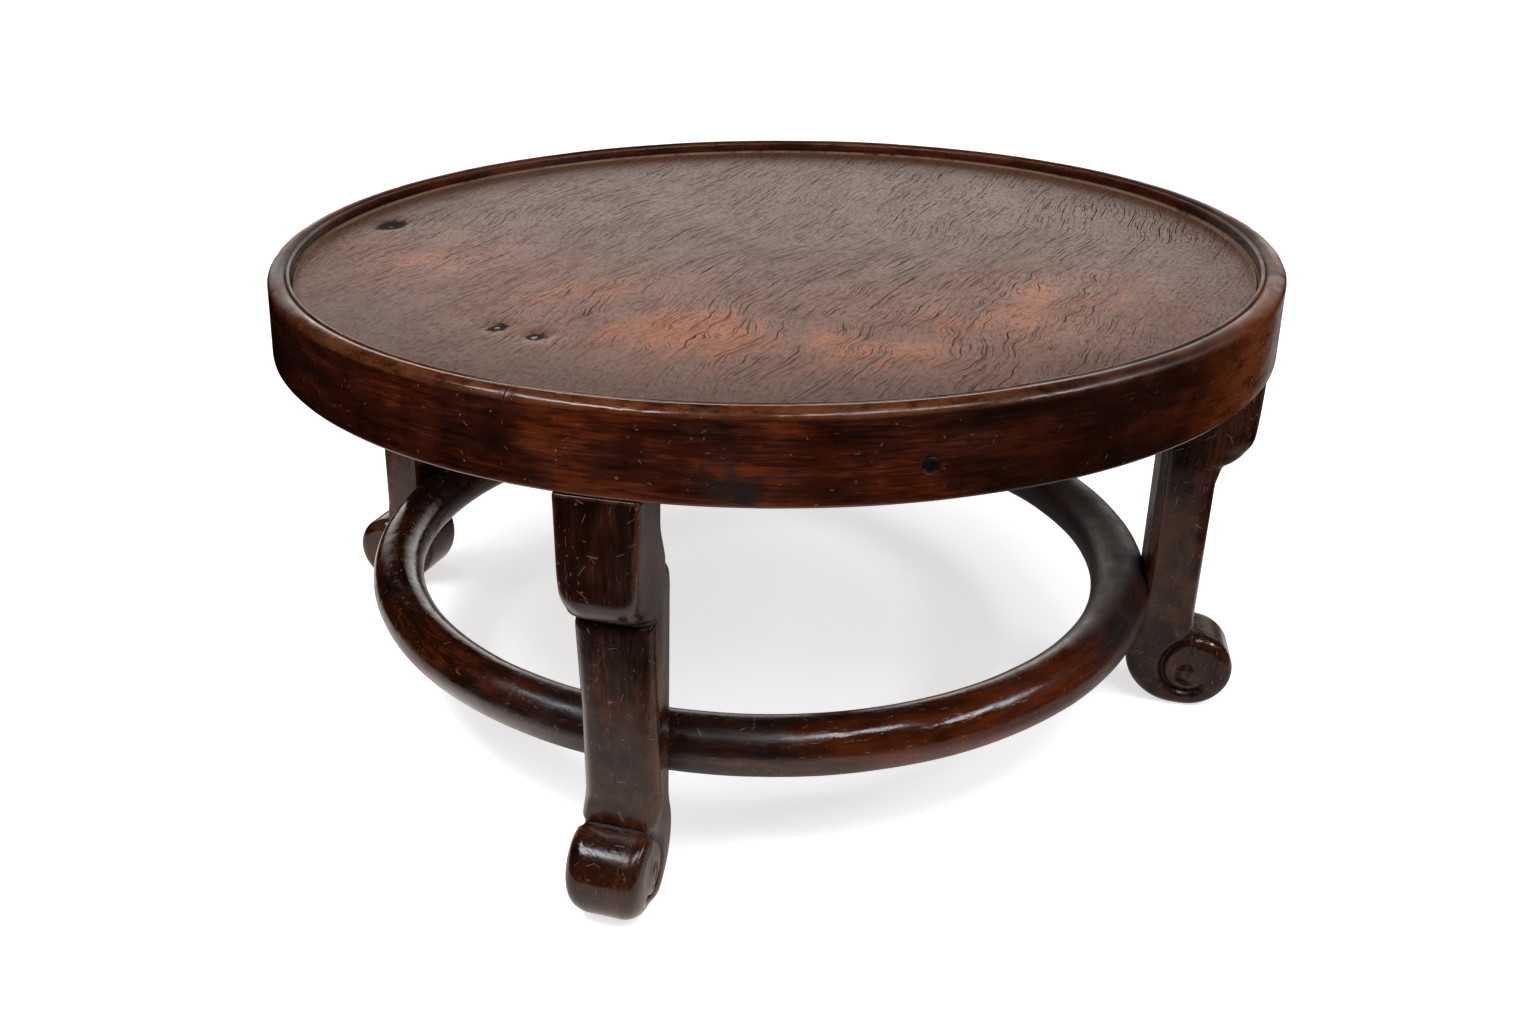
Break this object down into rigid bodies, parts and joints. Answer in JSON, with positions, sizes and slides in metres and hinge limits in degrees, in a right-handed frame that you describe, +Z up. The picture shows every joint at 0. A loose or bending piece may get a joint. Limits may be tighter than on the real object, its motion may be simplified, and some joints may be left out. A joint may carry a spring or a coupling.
{
  "type": "display stand",
  "caption": "Low round hardwood display stand with a recessed burl panel in a rimmed frame, scroll-footed legs and a round ring stretcher, joined with tenons, tongues, scarfs and keys.",
  "frame": {"origin": "on the floor, under the centre of the round top", "axes": "+Z up, -Y towards the front leg, +X to the right as seen from the front leg"},
  "size_m": [0.4227, 0.4226, 0.195],
  "materials": {
    "panel_burl": "waxed burl, satin sheen",
    "frame_wood": "dark lacquered, glossy, worn",
    "leg_wood": "dark lacquered, glossy, worn",
    "ring_wood": "dark lacquered, glossy",
    "plug_wood": "dark end grain, waxed",
    "inner_wood": "bare planed wood"
  },
  "bodies": {
    "root": {"top_panel": "panel_burl", "panel_batten": "inner_wood", "batten_pegs": "plug_wood", "frame_segment_1": "frame_wood", "frame_segment_2": "frame_wood", "frame_segment_3": "frame_wood", "frame_segment_4": "frame_wood", "leg_right": "leg_wood", "leg_back": "leg_wood", "leg_left": "leg_wood", "leg_front": "leg_wood", "ring_segment_1": "ring_wood", "ring_segment_2": "ring_wood", "ring_segment_3": "ring_wood", "ring_segment_4": "ring_wood", "ring_key_right": "inner_wood", "ring_key_back": "inner_wood", "ring_key_left": "inner_wood", "ring_key_front": "inner_wood"}
  },
  "joints": []
}
